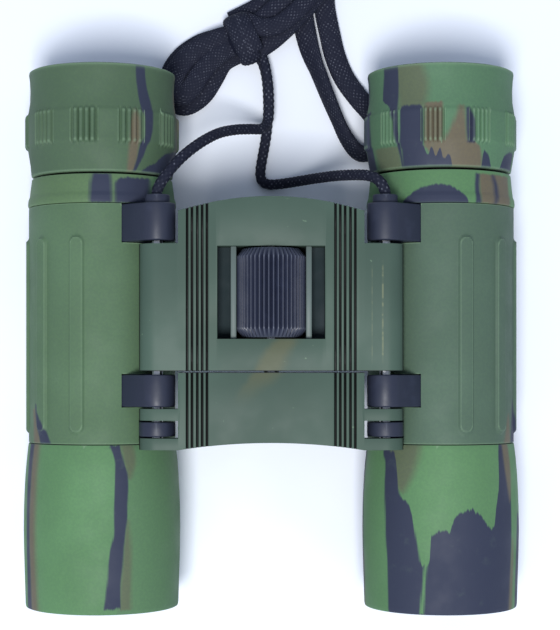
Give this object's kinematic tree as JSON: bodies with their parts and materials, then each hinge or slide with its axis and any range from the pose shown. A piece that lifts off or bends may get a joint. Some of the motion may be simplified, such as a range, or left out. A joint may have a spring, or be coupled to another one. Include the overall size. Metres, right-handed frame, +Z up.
{
  "type": "binoculars",
  "caption": "Compact folding roof-prism binoculars in camouflage rubber, with a ribbed focus wheel between two hinged barrels and a knotted neck strap.",
  "frame": {"origin": "centre of the underside of the binoculars' box, as they lie on a table, midway between the barrels", "axes": "+X to the user's right, +Y from the objectives toward the eyepieces, +Z up from the table through the bridge"},
  "size_m": [0.1028, 0.1908, 0.0387],
  "materials": {
    "green_rubber": "matt camouflage print in greens, brown and dark grey",
    "green_metal": "dark green satin paint with a fine sparkle",
    "black_plastic": "fine-grained black",
    "black_metal": "matt black anodised",
    "steel": "turned",
    "brass": "turned",
    "lens_glass": "coated, with a faint coloured reflection",
    "prism_glass": "polished",
    "black_cord": "braided polyester"
  },
  "bodies": {
    "bridge": {"bridge_housing": "green_metal", "bridge_back_cover": "green_metal", "cover_screw_1": "steel", "cover_screw_2": "steel", "cover_screw_3": "steel", "cover_screw_4": "steel", "strap_cord_left": "black_cord", "strap_cord_right": "black_cord", "strap_knot": "black_cord", "strap_lobe_left": "black_cord", "strap_fold": "black_cord", "strap_loop_right": "black_cord", "strap_coil": "black_cord"},
    "left_barrel": {"left_barrel_body": "black_plastic", "left_body_armour": "green_rubber", "left_neck_ring": "green_rubber", "left_objective_sleeve": "green_rubber", "left_objective_trim_ring": "black_metal", "left_prism_cage": "black_metal", "left_half_penta_prism": "prism_glass", "left_roof_prism": "prism_glass", "left_ocular_tube": "black_metal", "left_field_lens": "lens_glass", "left_eye_lens": "lens_glass", "left_eye_lens_ring": "black_metal", "left_eyecup": "green_rubber"},
    "right_barrel": {"right_barrel_body": "black_plastic", "right_body_armour": "green_rubber", "right_neck_ring": "green_rubber", "right_objective_sleeve": "green_rubber", "right_objective_trim_ring": "black_metal", "right_prism_cage": "black_metal", "right_half_penta_prism": "prism_glass", "right_roof_prism": "prism_glass"},
    "left_objective": {"left_objective_cell": "black_plastic", "left_objective_lens": "lens_glass"},
    "right_objective": {"right_objective_cell": "black_plastic", "right_objective_lens": "lens_glass"},
    "right_ocular": {"right_ocular_tube": "black_metal", "right_field_lens": "lens_glass", "right_eye_lens": "lens_glass", "right_eye_lens_ring": "black_metal"},
    "right_diopter_ring": {"right_eyecup": "green_rubber"},
    "focus_slider": {"focus_slider": "green_metal", "focus_nut": "brass", "left_hinge_pin": "steel", "right_hinge_pin": "steel"},
    "focus_wheel": {"focus_knob": "black_plastic", "focus_spindle": "steel", "spindle_clip": "steel"}
  },
  "joints": [
    {"name": "left_fold", "type": "hinge", "parent": "bridge", "child": "left_barrel", "pos_m": [-0.02261, 0, 0.03169], "axis": [0, -1, 0], "range_deg": [-6, 57], "deforming": ["strap_cord_left", "strap_lobe_left"]},
    {"name": "right_fold", "type": "hinge", "parent": "bridge", "child": "right_barrel", "pos_m": [0.02261, 0, 0.03169], "axis": [0, 1, 0], "range_deg": [-6, 57], "deforming": ["strap_cord_right", "strap_loop_right"]},
    {"name": "focus_slide", "type": "slide", "parent": "bridge", "child": "focus_slider", "axis": [0, -1, 0], "range_m": [0, 0.003]},
    {"name": "focus_turn", "type": "hinge", "parent": "bridge", "child": "focus_wheel", "pos_m": [0, 0, 0.03169], "axis": [0, 1, 0], "range_deg": [0, 450]},
    {"name": "left_objective_slide", "type": "slide", "parent": "left_barrel", "child": "left_objective", "axis": [0, -1, 0], "range_m": [0, 0.003]},
    {"name": "right_objective_slide", "type": "slide", "parent": "right_barrel", "child": "right_objective", "axis": [0, -1, 0], "range_m": [0, 0.003]},
    {"name": "right_ocular_slide", "type": "slide", "parent": "right_barrel", "child": "right_ocular", "axis": [0, 1, 0], "range_m": [-0.00055, 0.00055]},
    {"name": "diopter_turn", "type": "hinge", "parent": "right_ocular", "child": "right_diopter_ring", "pos_m": [0.03505, 0, 0.0164], "axis": [0, 1, 0], "range_deg": [-50, 50]}
  ],
  "couplings": [
    {"joint": "focus_turn", "follows": "focus_slide", "rad_per_m": 2617},
    {"joint": "left_objective_slide", "follows": "focus_slide", "ratio": 1},
    {"joint": "right_objective_slide", "follows": "focus_slide", "ratio": 1},
    {"joint": "right_ocular_slide", "follows": "diopter_turn", "m_per_rad": 0.00057}
  ]
}
